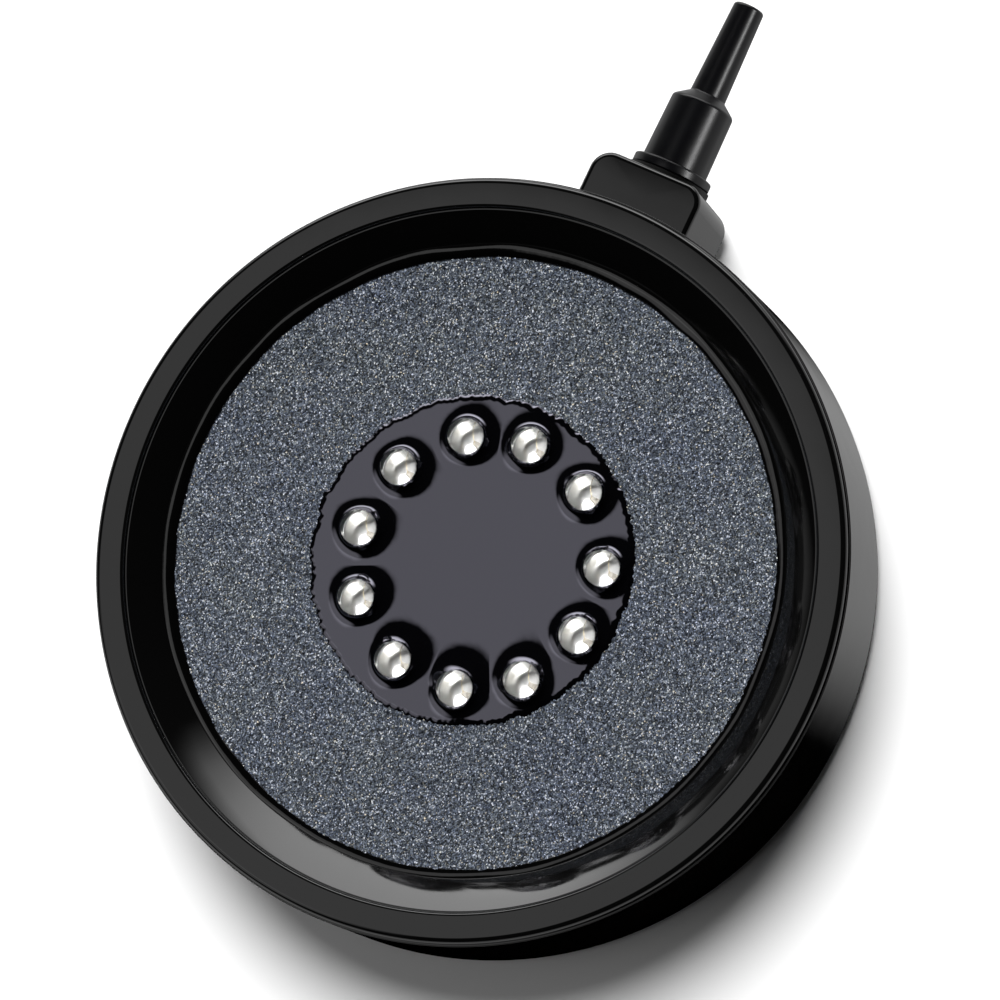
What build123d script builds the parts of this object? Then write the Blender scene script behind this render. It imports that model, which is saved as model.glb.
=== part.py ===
from build123d import *
import os
from math import cos, sin, radians, tan

os.makedirs("parts", exist_ok=True)

# LED air stone disc, in millimetres.
# The disc lies flat. Z is its axis, z = 0 is its underside, and +X points along the air nozzle.

# ---------------------------------------------------------------- driving dimensions
# Disc
disc_r = 53.9              # side wall at its foot
overall_height = 24.0      # underside to rim face
wall_draft = 0.6           # how much narrower the side wall is at its top
base_edge_r = 3.0          # rounding of the bottom edge
floor_t = 2.0
side_wall_t = 3.0          # side wall at its foot

# Rim ring
rim_h = 1.6                # rim ring seen above the parting line
rim_setback = 0.3          # the rim ring is this much narrower than the wall under it
rim_edge_r = 0.9
rim_face_w = 2.8
rim_lip_r = 0.5            # rounding of the face's inner edge
rim_step_h = 0.85          # face to the small ledge inside it
rim_ledge_w = 0.25
slope_run = 5.15           # sloping inner wall, level distance
slope_drop = 3.85          # sloping inner wall, height
rim_shell_t = 1.6
rim_skirt_t = 1.4
rim_skirt_h = 3.8          # skirt inside the side wall, below the parting line
rim_fit = 0.1              # clearance of the skirt in the side wall

# Porous stone
recess_depth = 4.5         # rim face to stone face
stone_t = 6.0
stone_gap = 0.2            # stone edge to rim ring
stone_hole_r = 22.6

# Sealing bead round the stone
bead_lap = 0.5             # onto the stone
bead_climb = 1.2           # up the sloping wall, level distance
bead_crown = 0.35
bead_depth = 1.1           # down the gap beside the stone

# Seats for the stone
seat_w = 2.0               # outer seat under the stone
seat_gap = 0.5             # stone edge to the lip round it
seat_lip_w = 1.9
well_wall_t = 4.0
well_r = 21.0              # inside of the LED well

# LED board
board_r = 20.6
board_t = 1.6
board_shift_y = -1.4       # the board sits off the disc's axis
post_ring_r = 10.0
post_r = 2.5
post_count = 3
post_first_angle = 90
pin_r = 0.8
pin_h = 2.2
pin_fit = 0.15

# 5 mm LEDs, pushed in by hand, so their angles are a little uneven
led_angles = (1, 31, 65, 98, 130, 164, 196, 227, 259, 291, 327)
led_ring_r = 17.65
led_r = 2.5
led_h = 8.7                # underside of the flange to the tip of the dome
led_flange_w = 0.4         # flange beyond the body
led_flange_h = 1.0
led_leg = 0.5
led_leg_pitch = 2.54
led_leg_tail = 1.6         # leg below the board
leg_hole_r = 0.45
anvil_z = 3.0              # heights above the underside of the flange
cup_z = 3.9
cup_h = 1.1
cup_r = 1.22
cup_mouth_r = 1.15
cup_depth = 0.85
cup_taper = 37
anvil_t = 0.9
anvil_left = 1.65          # from the LED's axis to the anvil's sides
anvil_right = 0.75
anode_gap = 0.2            # between cup and anode post
anode_foot_h = 0.6         # foot under the cup's edge that joins post and leg
anode_post_w = 0.65
anode_post_top = 5.4

# Resistors under the board
resistor_angles = (60, 120, 180, 250)
resistor_ring_r = 13.5
resistor_size = (3.2, 1.6, 0.6)

# Potting resin
potting_r = 23.2           # where the resin ends on the stone
potting_film = 0.25        # height over the stone
potting_edge = 0.2
collar_foot_w = 1.4        # resin drawn up round each LED, beyond its body
collar_top_w = 0.25
collar_h = 1.2

# Cable port, conduit and leads
port_angle = 22
port_z = 8.0
conduit_r = 3.4
conduit_bore_r = 2.4
port_boss_r = 5.5
port_bore_r = 4.0
port_depth = 7.0
grommet_fit = 0.05
grommet_proud = 0.6
grommet_bore_r = 2.1
lead_r = 0.6
lead_core_r = 0.3
lead_side = 1.0            # each lead to the conduit's axis
lead_pad_r = 10.0          # disc's axis to the leads' holes in the board
lead_bend_r = 4.0
lead_gap = 1.4             # inner end of the grommet to the ends of the leads
lead_hole_r = 0.45
lead_strip = 1.0           # bare core below the board
lead_tail = 0.5            # bare core above the board

# Nozzle box on the side wall
box_reach = 5.75          # side wall at its foot to the box's end face
box_half_w = 8.45
box_setback = 3.0          # rim face to the box's top
box_foot_z = 2.0
box_corner_r = 3.0
box_edge_r = 0.8
box_end_t = 2.0
box_wall_t = 1.8
boss_wall = 1.8            # round the nozzle bore

# Air nozzle
bore_r = 4.0
bore_depth = 7.0
duct_r = 1.6
duct_roof = 0.4            # between the duct and the stone
stem_fit = 0.05            # running clearance, radial
stem_len = 6.7
stem_chamfer = 0.4
nozzle_bore_r = 1.3
flange_lap = 1.8           # flange beyond the bore
flange_t = 1.4
flange_gap = 0.1           # gasket to flange
flange_edge_r = 0.3
barrel_base_r = 4.8
barrel_top_r = 4.62
barrel_len = 9.65
shoulder_len = 1.5
spigot_base_r = 2.63
spigot_tip_r = 2.23
spigot_len = 14.0
spigot_tip_edge = 0.4
snap_at = 1.9              # end face to the middle of the snap bead
snap_w = 0.8
snap_proud = 0.25
snap_slack = 0.15
ring_groove_at = 4.4       # end face to the middle of the O-ring groove
ring_section_r = 0.68
ring_side_gap = 0.44       # both sides of the O-ring in its groove, together
ring_fit = 0.04
ring_bore_fit = 0.1
gasket_t = 0.9
gasket_show = 0.25         # gasket beyond the flange
gasket_fit = 0.15

# Cuts run this far past the surface that they open
over = 1.0

# ---------------------------------------------------------------- worked out from them
rim_z = overall_height
parting_z = rim_z - rim_h
wall_top_r = disc_r - wall_draft
wall_in_r = disc_r - side_wall_t
rim_r = wall_top_r - rim_setback
face_out_r = rim_r - rim_edge_r
face_in_r = face_out_r - rim_face_w
ledge_out_r = face_in_r - rim_lip_r
ledge_in_r = ledge_out_r - rim_ledge_w
ledge_z = rim_z - rim_step_h
foot_r = ledge_in_r - slope_run
foot_z = ledge_z - slope_drop
slope_ratio = slope_drop / slope_run
slope_length = (slope_run**2 + slope_drop**2) ** 0.5
skirt_r = wall_in_r - rim_fit
skirt_in_r = skirt_r - rim_skirt_t

stone_r = foot_r - stone_gap
stone_top_z = rim_z - recess_depth
stone_under_z = stone_top_z - stone_t
seat_lip_r = stone_r + seat_gap
seat_in_r = stone_r - seat_w
seat_out_r = seat_lip_r + seat_lip_w
well_out_r = well_r + well_wall_t

# The underside of the rim ring's slope lies one shell thickness below its face
under_r = foot_r + rim_shell_t * slope_drop / slope_length
under_z = foot_z - rim_shell_t * slope_run / slope_length
skirt_meet_z = under_z + (skirt_in_r - under_r) * slope_ratio

led_flange_r = led_r + led_flange_w
led_base_z = rim_z - led_h
board_under_z = led_base_z - board_t
led_shoulder_z = led_h - led_r
led_leg_end_z = board_under_z - led_leg_tail
led_places = [
    (led_ring_r * cos(radians(a)), board_shift_y + led_ring_r * sin(radians(a)))
    for a in led_angles
]
post_angles = [post_first_angle + 360 * k / post_count for k in range(post_count)]
post_places = [
    (post_ring_r * cos(radians(a)), board_shift_y + post_ring_r * sin(radians(a)))
    for a in post_angles
]
potting_top_z = stone_top_z + potting_film
collar_r = led_r + collar_foot_w
collar_top_r = led_r + collar_top_w

end_x = disc_r + box_reach
box_top_z = rim_z - box_setback
nozzle_z = (box_top_z + box_foot_z) / 2
duct_z = stone_under_z - duct_roof - duct_r
boss_r = bore_r + boss_wall
nozzle_axis = Axis((0, 0, nozzle_z), (1, 0, 0))
nozzle_plane = Plane(origin=(0, 0, nozzle_z), x_dir=(1, 0, 0), z_dir=(0, -1, 0))

port_x = cos(radians(port_angle))
port_y = sin(radians(port_angle))


def port_plane(radius):
    """Plane across the cable port's axis, at this distance from the disc's axis."""
    return Plane(
        origin=(radius * port_x, radius * port_y, port_z),
        x_dir=(-port_y, port_x, 0),
        z_dir=(port_x, port_y, 0),
    )


def along_x(x, z):
    """Plane across the X direction, with its origin at this x and z."""
    return Plane(origin=(x, 0, z), x_dir=(0, 1, 0), z_dir=(1, 0, 0))


def finish(builder, name):
    """Labels a finished piece and writes its STEP file."""
    builder.part.label = name
    export_step(builder.part, f"parts/{name}.step")


# ---------------------------------------------------------------- housing
# Posts with locating pins that carry the LED board
with BuildPart() as board_posts:
    with BuildSketch(Plane.XY.offset(floor_t / 2)):
        with Locations(*post_places):
            Circle(post_r)
    extrude(amount=board_under_z - floor_t / 2)
    with BuildSketch(Plane.XY.offset(board_under_z)):
        with Locations(*post_places):
            Circle(pin_r)
    extrude(amount=pin_h)

# Box on the side wall that holds the nozzle
with BuildPart() as nozzle_box:
    with BuildSketch(Plane.XY.offset(box_foot_z)) as box_plan:
        with BuildLine():
            Polyline(
                (wall_in_r + rim_setback, -box_half_w),
                (end_x, -box_half_w),
                (end_x, box_half_w),
                (wall_in_r + rim_setback, box_half_w),
                close=True,
            )
        make_face()
        fillet(box_plan.vertices().group_by(Axis.X)[-1], box_corner_r)
    extrude(amount=box_top_z - box_foot_z)
    fillet(nozzle_box.faces().sort_by(Axis.Z)[-1].edges(), box_edge_r)
    fillet(nozzle_box.faces().sort_by(Axis.Z)[0].edges(), box_edge_r)

# Dish with its floor, side wall, seat for the stone and LED well, as one profile turned about Z
with BuildPart() as housing:
    with BuildSketch(Plane.XZ) as dish_profile:
        with BuildLine():
            Polyline(
                (0, 0),
                (disc_r, 0),
                (wall_top_r, parting_z),
                (wall_in_r, parting_z),
                (wall_in_r, floor_t),
                (seat_out_r, floor_t),
                (seat_out_r, under_z),
                (seat_lip_r, under_z),
                (seat_lip_r, stone_under_z),
                (seat_in_r, stone_under_z),
                (seat_in_r, floor_t),
                (well_out_r, floor_t),
                (well_out_r, stone_under_z),
                (well_r, stone_under_z),
                (well_r, floor_t),
                (0, floor_t),
                close=True,
            )
        make_face()
        fillet(dish_profile.vertices().group_by(Axis.Y)[0].sort_by(Axis.X)[-1], base_edge_r)
    revolve(axis=Axis.Z)
    add(nozzle_box.part)
    add(board_posts.part)

    # The box is hollow and open to the space behind the side wall
    with BuildSketch(along_x(wall_in_r - box_wall_t, (box_top_z + box_foot_z) / 2)):
        Rectangle(2 * (box_half_w - box_wall_t), box_top_z - box_foot_z - 2 * box_wall_t)
    extrude(amount=end_x - box_end_t - wall_in_r + box_wall_t, mode=Mode.SUBTRACT)

    # Boss round the nozzle bore and the air duct, from the stone's seat to the end of the box
    with BuildSketch(along_x(seat_lip_r + seat_lip_w / 2, nozzle_z)):
        Circle(boss_r)
    extrude(amount=end_x - box_end_t / 2 - seat_lip_r - seat_lip_w / 2)

    # Conduit for the leads, with a web down to the floor and a boss for the grommet
    with BuildSketch(port_plane(well_r + well_wall_t / 2)):
        Circle(conduit_r)
        with Locations((0, (floor_t / 2 - port_z) / 2)):
            Rectangle(2 * conduit_bore_r, port_z - floor_t / 2)
    extrude(amount=wall_in_r + rim_fit - well_r - well_wall_t / 2)
    with BuildSketch(port_plane(disc_r - port_depth - conduit_bore_r)):
        Circle(port_boss_r)
    extrude(amount=port_depth + conduit_bore_r - side_wall_t / 2)

    # Bore for the nozzle's stem, with a groove for its snap bead, and the duct to the air space
    with BuildSketch(nozzle_plane):
        with BuildLine():
            Polyline(
                (end_x - bore_depth, 0),
                (end_x + over, 0),
                (end_x + over, bore_r),
                (end_x - snap_at + snap_w / 2 + snap_slack, bore_r),
                (end_x - snap_at + snap_w / 2 + snap_slack, bore_r + snap_proud + stem_fit),
                (end_x - snap_at - snap_w / 2 - snap_slack, bore_r + snap_proud + stem_fit),
                (end_x - snap_at - snap_w / 2 - snap_slack, bore_r),
                (end_x - bore_depth, bore_r),
                close=True,
            )
        make_face()
    revolve(axis=nozzle_axis, mode=Mode.SUBTRACT)
    with BuildSketch(along_x(seat_in_r - seat_w, duct_z)):
        Circle(duct_r)
    extrude(amount=end_x - bore_depth - seat_in_r + seat_w + duct_r, mode=Mode.SUBTRACT)

    # Bore of the conduit and the wider bore for the grommet
    with BuildSketch(port_plane(well_r - well_wall_t)):
        Circle(conduit_bore_r)
    extrude(amount=disc_r - well_r + well_wall_t, mode=Mode.SUBTRACT)
    with BuildSketch(port_plane(disc_r - port_depth)):
        Circle(port_bore_r)
    extrude(amount=port_depth + over, mode=Mode.SUBTRACT)
finish(housing, "housing")

# ---------------------------------------------------------------- rim ring
with BuildPart() as rim_ring:
    with BuildSketch(Plane.XZ):
        with BuildLine():
            Line((face_in_r, rim_z), (face_out_r, rim_z))
            RadiusArc((face_out_r, rim_z), (rim_r, rim_z - rim_edge_r), rim_edge_r)
            Polyline(
                (rim_r, rim_z - rim_edge_r),
                (rim_r, parting_z),
                (skirt_r, parting_z),
                (skirt_r, parting_z - rim_skirt_h),
                (skirt_in_r, parting_z - rim_skirt_h),
                (skirt_in_r, skirt_meet_z),
                (under_r, under_z),
                (foot_r, under_z),
                (foot_r, foot_z),
                (ledge_in_r, ledge_z),
                (ledge_out_r, ledge_z),
                (ledge_out_r, rim_z - rim_lip_r),
            )
            RadiusArc((ledge_out_r, rim_z - rim_lip_r), (face_in_r, rim_z), rim_lip_r)
        make_face()
    revolve(axis=Axis.Z)
finish(rim_ring, "rim_ring")

# ---------------------------------------------------------------- porous stone
with BuildPart() as porous_stone:
    with BuildSketch(Plane.XY.offset(stone_under_z)):
        Circle(stone_r)
        Circle(stone_hole_r, mode=Mode.SUBTRACT)
    extrude(amount=stone_t)
finish(porous_stone, "porous_stone")

# Bead of sealant on the stone's edge, down the gap beside it and up the rim ring's slope
bead_in_r = stone_r - bead_lap
bead_out_r = foot_r + bead_climb
bead_out_z = foot_z + bead_climb * slope_ratio
bead_mid_r = (bead_in_r + bead_out_r) / 2
bead_mid_z = (stone_top_z + bead_out_z) / 2 + bead_crown
with BuildPart() as stone_seal_bead:
    with BuildSketch(Plane.XZ):
        with BuildLine():
            Polyline(
                (bead_in_r, stone_top_z),
                (stone_r, stone_top_z),
                (stone_r, stone_top_z - bead_depth),
                (foot_r, stone_top_z - bead_depth),
                (foot_r, foot_z),
                (bead_out_r, bead_out_z),
            )
            ThreePointArc(
                (bead_out_r, bead_out_z), (bead_mid_r, bead_mid_z), (bead_in_r, stone_top_z)
            )
        make_face()
    revolve(axis=Axis.Z)
finish(stone_seal_bead, "stone_seal_bead")


# ---------------------------------------------------------------- LEDs
def make_cathode(x, y):
    """Cathode lead with the anvil and the reflector cup that holds the chip."""
    anvil_mid_x = x + (anvil_right - anvil_left) / 2
    with BuildPart() as cathode:
        with BuildSketch(Plane((x - led_leg_pitch / 2, y, led_leg_end_z))):
            Rectangle(led_leg, led_leg)
        extrude(amount=led_base_z + anvil_z - led_leg_end_z)
        with BuildSketch(Plane((anvil_mid_x, y, led_base_z + anvil_z))):
            Rectangle(anvil_right + anvil_left, anvil_t)
        extrude(amount=cup_z - anvil_z)
        with BuildSketch(Plane((x, y, led_base_z + cup_z))):
            Circle(cup_r)
        extrude(amount=cup_h)
        with BuildSketch(Plane((x, y, led_base_z + cup_z + cup_h))):
            Circle(cup_mouth_r)
        extrude(amount=-cup_depth, taper=cup_taper, mode=Mode.SUBTRACT)
    return cathode


def make_anode(x, y):
    """Anode lead with the post that the bond wire lands on."""
    foot_start = (led_leg_pitch - led_leg) / 2
    post_end = cup_r + anode_gap + anode_post_w
    with BuildPart() as anode:
        with BuildSketch(Plane((x + led_leg_pitch / 2, y, led_leg_end_z))):
            Rectangle(led_leg, led_leg)
        extrude(amount=led_base_z + anvil_z - led_leg_end_z)
        with BuildSketch(Plane((x + (foot_start + post_end) / 2, y, led_base_z + anvil_z))):
            Rectangle(post_end - foot_start, anvil_t)
        extrude(amount=anode_foot_h)
        with BuildSketch(Plane((x + post_end - anode_post_w / 2, y, led_base_z + anvil_z))):
            Rectangle(anode_post_w, anvil_t)
        extrude(amount=anode_post_top - anvil_z)
    return anode


def make_lens(x, y, cathode, anode):
    """Clear epoxy body: flange with its flat, cylinder and dome, cast round both leads."""
    with BuildPart() as lens:
        with BuildSketch(Plane(origin=(x, y, led_base_z), x_dir=(1, 0, 0), z_dir=(0, -1, 0))):
            with BuildLine():
                Polyline(
                    (0, led_h),
                    (0, 0),
                    (led_flange_r, 0),
                    (led_flange_r, led_flange_h),
                    (led_r, led_flange_h),
                    (led_r, led_shoulder_z),
                )
                CenterArc((0, led_shoulder_z), led_r, 0, 90)
            make_face()
        revolve(axis=Axis((x, y, 0), (0, 0, 1)))
        with BuildSketch(Plane((x - 2 * led_r, y, led_base_z))):
            Rectangle(2 * led_r, 4 * led_r)
        extrude(amount=led_flange_h, mode=Mode.SUBTRACT)
        add(cathode.part, mode=Mode.SUBTRACT)
        add(anode.part, mode=Mode.SUBTRACT)
    return lens


led_pieces = []
for number, (led_x, led_y) in enumerate(led_places, start=1):
    led_cathode = make_cathode(led_x, led_y)
    led_anode = make_anode(led_x, led_y)
    led_lens = make_lens(led_x, led_y, led_cathode, led_anode)
    finish(led_lens, f"led_lens_{number:02d}")
    finish(led_cathode, f"led_cathode_{number:02d}")
    finish(led_anode, f"led_anode_{number:02d}")
    led_pieces += [led_lens, led_cathode, led_anode]


# ---------------------------------------------------------------- leads
def make_lead(side):
    """One lead: in along the conduit, then up through the board, on one side of the axis."""
    across = Vector(-port_y, port_x, 0) * side
    outer = Vector(port_x, port_y, 0) * (disc_r - port_depth - lead_gap) + across + Vector(0, 0, port_z)
    under_pad = Vector(port_x, port_y, 0) * lead_pad_r + across + Vector(0, 0, port_z)
    strip_z = board_under_z - lead_strip
    with BuildPart() as lead:
        with BuildLine() as route:
            FilletPolyline(outer, under_pad, Vector(under_pad.X, under_pad.Y, strip_z), radius=lead_bend_r)
        with BuildSketch(Plane(origin=route.line @ 0, z_dir=route.line % 0)):
            Circle(lead_r)
        sweep(path=route.line)
        with BuildSketch(Plane((under_pad.X, under_pad.Y, strip_z))):
            Circle(lead_core_r)
        extrude(amount=led_base_z + lead_tail - strip_z)
    return lead


lead_positive = make_lead(lead_side)
finish(lead_positive, "lead_positive")
lead_negative = make_lead(-lead_side)
finish(lead_negative, "lead_negative")
lead_holes = [
    (lead_pad_r * port_x - port_y * side, lead_pad_r * port_y + port_x * side)
    for side in (lead_side, -lead_side)
]

# ---------------------------------------------------------------- LED board
leg_holes = [(x + side * led_leg_pitch / 2, y) for x, y in led_places for side in (-1, 1)]
with BuildPart() as led_board:
    with BuildSketch(Plane.XY.offset(board_under_z)):
        with Locations((0, board_shift_y)):
            Circle(board_r)
        with Locations(*leg_holes):
            Circle(leg_hole_r, mode=Mode.SUBTRACT)
        with Locations(*post_places):
            Circle(pin_r + pin_fit, mode=Mode.SUBTRACT)
        with Locations(*lead_holes):
            Circle(lead_hole_r, mode=Mode.SUBTRACT)
    extrude(amount=board_t)
finish(led_board, "led_board")

# Chip resistors on the underside of the board, one for each string of LEDs
with BuildPart() as led_resistors:
    for angle in resistor_angles:
        resistor_x = resistor_ring_r * cos(radians(angle))
        resistor_y = board_shift_y + resistor_ring_r * sin(radians(angle))
        with BuildSketch(Plane((resistor_x, resistor_y, board_under_z - resistor_size[2]))):
            Rectangle(resistor_size[0], resistor_size[1], rotation=angle + 90)
        extrude(amount=resistor_size[2])
finish(led_resistors, "led_resistors")

# ---------------------------------------------------------------- potting resin
# It fills the well and the stone's hole, covers the stone's inner edge and climbs each LED
with BuildPart() as led_potting:
    with BuildSketch(Plane.XZ):
        with BuildLine():
            Polyline(
                (0, floor_t),
                (well_r, floor_t),
                (well_r, stone_under_z),
                (stone_hole_r, stone_under_z),
                (stone_hole_r, stone_top_z),
                (potting_r, stone_top_z),
                (potting_r - potting_edge, potting_top_z),
                (0, potting_top_z),
                close=True,
            )
        make_face()
    revolve(axis=Axis.Z)
    with Locations(*[(x, y, potting_top_z) for x, y in led_places]):
        Cone(collar_r, collar_top_r, collar_h, align=(Align.CENTER, Align.CENTER, Align.MIN))
    for piece in led_pieces + [led_board, led_resistors, lead_positive, lead_negative, board_posts]:
        add(piece.part, mode=Mode.SUBTRACT)
finish(led_potting, "led_potting")

# ---------------------------------------------------------------- cable grommet
with BuildPart() as cable_grommet:
    with BuildSketch(port_plane(disc_r - port_depth)):
        Circle(port_bore_r - grommet_fit)
        Circle(grommet_bore_r, mode=Mode.SUBTRACT)
    extrude(amount=port_depth + grommet_proud)
finish(cable_grommet, "cable_grommet")

# ---------------------------------------------------------------- air nozzle
stem_r = bore_r - stem_fit
flange_r = bore_r + flange_lap
gasket_r = flange_r + gasket_show
ring_in_r = bore_r - ring_bore_fit - 2 * ring_section_r
ring_groove_r = ring_in_r - ring_fit
ring_groove_w = 2 * ring_section_r + ring_side_gap
flange_x = end_x + gasket_t + flange_gap
barrel_x = flange_x + flange_t
shoulder_x = barrel_x + barrel_len
spigot_x = shoulder_x + shoulder_len
tip_x = spigot_x + spigot_len
snap_x = end_x - snap_at
groove_x = end_x - ring_groove_at
with BuildPart() as air_nozzle:
    with BuildSketch(nozzle_plane):
        with BuildLine():
            Polyline(
                (end_x - stem_len, nozzle_bore_r),
                (end_x - stem_len, stem_r - stem_chamfer),
                (end_x - stem_len + stem_chamfer, stem_r),
                (groove_x - ring_groove_w / 2, stem_r),
                (groove_x - ring_groove_w / 2, ring_groove_r),
                (groove_x + ring_groove_w / 2, ring_groove_r),
                (groove_x + ring_groove_w / 2, stem_r),
                (snap_x - snap_w / 2, stem_r),
                (snap_x, bore_r + snap_proud - stem_fit),
                (snap_x + snap_w / 2, stem_r),
                (flange_x, stem_r),
                (flange_x, flange_r - flange_edge_r),
                (flange_x + flange_edge_r, flange_r),
                (barrel_x - flange_edge_r, flange_r),
                (barrel_x, flange_r - flange_edge_r),
                (barrel_x, barrel_base_r),
                (shoulder_x, barrel_top_r),
                (spigot_x, spigot_base_r),
                (tip_x - spigot_tip_edge, spigot_tip_r),
                (tip_x, spigot_tip_r - spigot_tip_edge),
                (tip_x, nozzle_bore_r),
                close=True,
            )
        make_face()
    revolve(axis=nozzle_axis)
finish(air_nozzle, "air_nozzle")

# O-ring in the stem's groove
with BuildPart() as nozzle_o_ring:
    with BuildSketch(nozzle_plane):
        with Locations((groove_x, ring_in_r + ring_section_r)):
            Circle(ring_section_r)
    revolve(axis=nozzle_axis)
finish(nozzle_o_ring, "nozzle_o_ring")

# Flat gasket between the box's end face and the flange
with BuildPart() as nozzle_gasket:
    with BuildSketch(along_x(end_x, nozzle_z)):
        Circle(gasket_r)
        Circle(stem_r + gasket_fit, mode=Mode.SUBTRACT)
    extrude(amount=gasket_t)
finish(nozzle_gasket, "nozzle_gasket")
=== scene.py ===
"""LED air stone disc: moulded housing, bonded-grit stone, LEDs potted in resin, and a turning hose nozzle."""

import logging
from dataclasses import dataclass, field
from enum import Enum

import bmesh
import bpy
import numpy as np
from mathutils import Matrix


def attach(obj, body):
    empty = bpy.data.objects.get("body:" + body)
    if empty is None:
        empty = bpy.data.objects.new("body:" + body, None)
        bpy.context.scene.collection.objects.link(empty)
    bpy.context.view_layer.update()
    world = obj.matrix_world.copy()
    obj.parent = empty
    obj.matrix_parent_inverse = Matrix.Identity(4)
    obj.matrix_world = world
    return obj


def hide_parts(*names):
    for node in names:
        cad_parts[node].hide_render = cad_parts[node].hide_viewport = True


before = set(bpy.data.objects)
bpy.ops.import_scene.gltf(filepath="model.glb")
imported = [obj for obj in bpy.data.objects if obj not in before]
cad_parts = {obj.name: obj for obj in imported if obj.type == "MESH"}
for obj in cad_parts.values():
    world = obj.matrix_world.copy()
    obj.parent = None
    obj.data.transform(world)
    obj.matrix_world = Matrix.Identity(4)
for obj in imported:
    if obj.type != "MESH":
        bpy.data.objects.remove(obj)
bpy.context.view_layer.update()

LOG = logging.getLogger("air_stone")
MM = 0.001
DISC = "disc"
NOZZLE = "nozzle"
SHARP_DEG = 50.0
Array = np.ndarray
# Points in mm, one row each, and quads of point numbers.
Shell = tuple[Array, Array]
Tree = bpy.types.NodeTree
Node = bpy.types.Node
Socket = bpy.types.NodeSocket


# ---------------------------------------------------------------- colours and nodes
def linear(colour: str) -> tuple[float, float, float, float]:
    """Turns an sRGB hex colour into linear RGBA.

    Args:
        colour: Six hex digits, with or without a leading hash.

    Returns:
        Linear red, green, blue and an alpha of 1.
    """
    digits = colour.lstrip("#")
    srgb = np.array([int(digits[i : i + 2], 16) / 255 for i in (0, 2, 4)])
    low = srgb <= 0.04045
    rgb = np.where(low, srgb / 12.92, ((srgb + 0.055) / 1.055) ** 2.4)
    return (float(rgb[0]), float(rgb[1]), float(rgb[2]), 1.0)


def add_node(tree: Tree, kind: str, inputs: dict | None = None, **settings: object) -> Node:
    """Adds one node, sets it and links it.

    Args:
        tree: The node tree.
        kind: Blender's name for the kind of node.
        inputs: For each input, by name or place, a value or the socket that feeds it.
        **settings: The node's own properties.

    Returns:
        The new node.
    """
    made = tree.nodes.new(kind)
    for name, value in settings.items():
        setattr(made, name, value)
    for key, value in (inputs or {}).items():
        if isinstance(value, Socket):
            tree.links.new(value, made.inputs[key])
        else:
            made.inputs[key].default_value = value
    return made


def ramp(tree: Tree, source: Socket, stops: list[tuple[float, str]]) -> Socket:
    """Maps a value to colours.

    Args:
        tree: The node tree.
        source: The value, 0 to 1.
        stops: Places and hex colours, two or more.

    Returns:
        The colour.
    """
    made = add_node(tree, "ShaderNodeValToRGB", {0: source})
    elements = made.color_ramp.elements
    while len(elements) < len(stops):
        elements.new(0.5)
    for element, (place, colour) in zip(elements, stops):
        element.position = place
        element.color = linear(colour)
    return made.outputs[0]


def noise(tree: Tree, place: Socket, size_mm: float, detail: float) -> Socket:
    """Gives a smooth random value over the object.

    Args:
        tree: The node tree.
        place: The place on the object, in metres.
        size_mm: Size of the noise's features.
        detail: Number of finer layers on top.

    Returns:
        The value, 0 to 1.
    """
    inputs = {"Vector": place, "Scale": 1 / (size_mm * MM), "Detail": detail}
    return add_node(tree, "ShaderNodeTexNoise", inputs).outputs[0]


def product(tree: Tree, first: Socket, second: Socket) -> Socket:
    """Multiplies two values.

    Args:
        tree: The node tree.
        first: One value.
        second: The other value.

    Returns:
        Their product.
    """
    return add_node(tree, "ShaderNodeMath", {0: first, 1: second}, operation="MULTIPLY").outputs[0]


def colour_product(tree: Tree, first: Socket, second: Socket) -> Socket:
    """Multiplies two colours. A colour mix has its factor at input 0, and its colours at 6 and 7.

    Args:
        tree: The node tree.
        first: One colour.
        second: The other colour.

    Returns:
        Their product.
    """
    inputs = {0: 1.0, 6: first, 7: second}
    return add_node(tree, "ShaderNodeMix", inputs, data_type="RGBA", blend_type="MULTIPLY").outputs[2]


# ---------------------------------------------------------------- finishes
@dataclass(frozen=True)
class Finish:
    """What every finish has: a name, a base colour and a roughness with a little variation."""

    name: str
    colour: str
    roughness: float
    ior: float = 1.5
    specular: float = 0.5
    metallic: float = 0.0
    variation: float = 0.02
    mottle_mm: float = 2.0

    def build(self) -> bpy.types.Material:
        """Makes the material.

        Returns:
            A new material with this finish.
        """
        made = bpy.data.materials.new(self.name)
        made.use_nodes = True
        tree = made.node_tree
        tree.nodes.clear()
        place = add_node(tree, "ShaderNodeTexCoord").outputs["Object"]
        uneven = add_node(tree, "ShaderNodeMapRange", {
            "Value": noise(tree, place, self.mottle_mm, 3.0),
            "From Min": 0.3,
            "From Max": 0.7,
            "To Min": max(0.0, self.roughness - self.variation),
            "To Max": self.roughness + self.variation,
        })
        shader = add_node(tree, "ShaderNodeBsdfPrincipled", {
            "Base Color": linear(self.colour),
            "Roughness": uneven.outputs[0],
            "Metallic": self.metallic,
            "IOR": self.ior,
            "Specular IOR Level": self.specular,
        })
        self.dress(tree, shader, place)
        out = add_node(tree, "ShaderNodeOutputMaterial")
        tree.links.new(shader.outputs[0], out.inputs["Surface"])
        return made

    def dress(self, tree: Tree, shader: Node, place: Socket) -> None:
        """Adds what this finish alone has. A plain finish adds nothing.

        Args:
            tree: The node tree.
            shader: The shader.
            place: The place on the object, in metres.
        """

    def relief(self, tree: Tree, shader: Node, height: Socket, depth_mm: float, share: float = 1.0) -> None:
        """Feeds a height into the shader's normal.

        Args:
            tree: The node tree.
            shader: The shader.
            height: A height of 0 to 1.
            depth_mm: What a height of 1 stands for.
            share: Share of the relief that shows.
        """
        inputs = {"Height": height, "Distance": depth_mm * MM, "Strength": share}
        bump = add_node(tree, "ShaderNodeBump", inputs)
        tree.links.new(bump.outputs[0], shader.inputs["Normal"])


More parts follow.
